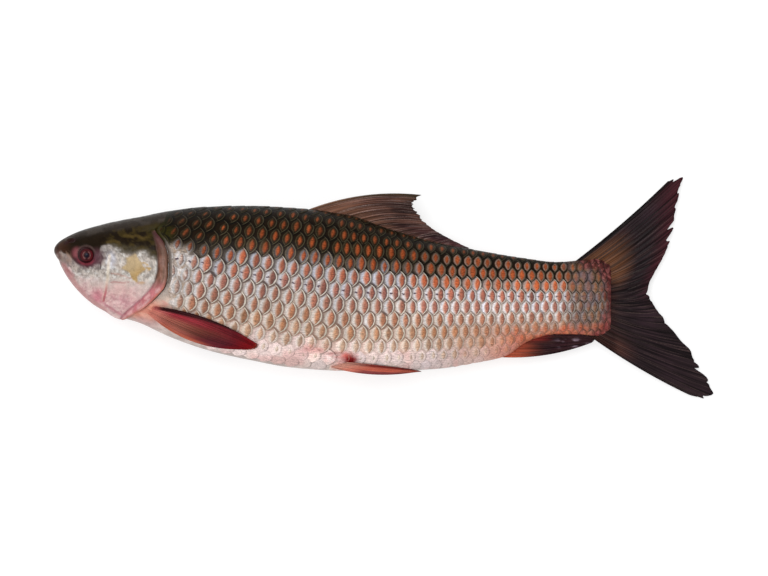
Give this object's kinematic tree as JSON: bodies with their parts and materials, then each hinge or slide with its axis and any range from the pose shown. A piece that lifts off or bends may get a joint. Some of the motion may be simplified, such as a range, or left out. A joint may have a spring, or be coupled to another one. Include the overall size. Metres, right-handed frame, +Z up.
{
  "type": "whole raw fish",
  "caption": "Whole raw carp-shaped fish lying on its flank, with a scaled body, smooth head, gill covers, eyes and all fins, as a market fish or food prop",
  "frame": {"origin": "on the table under the middle of the bounding box", "axes": "+X from the snout to the tail, +Y from the belly to the back, +Z up out of the left flank, which lies uppermost"},
  "size_m": [0.45, 0.1494, 0.0639],
  "materials": {
    "fish_skin": "wet, scaled fish skin: silver-grey scales with orange-brown spots, dark back, pink belly, maroon fins",
    "eye": "wet and glossy"
  },
  "bodies": {
    "root": {"fish": "fish_skin", "eye_left": "eye", "eye_right": "eye"}
  },
  "joints": []
}
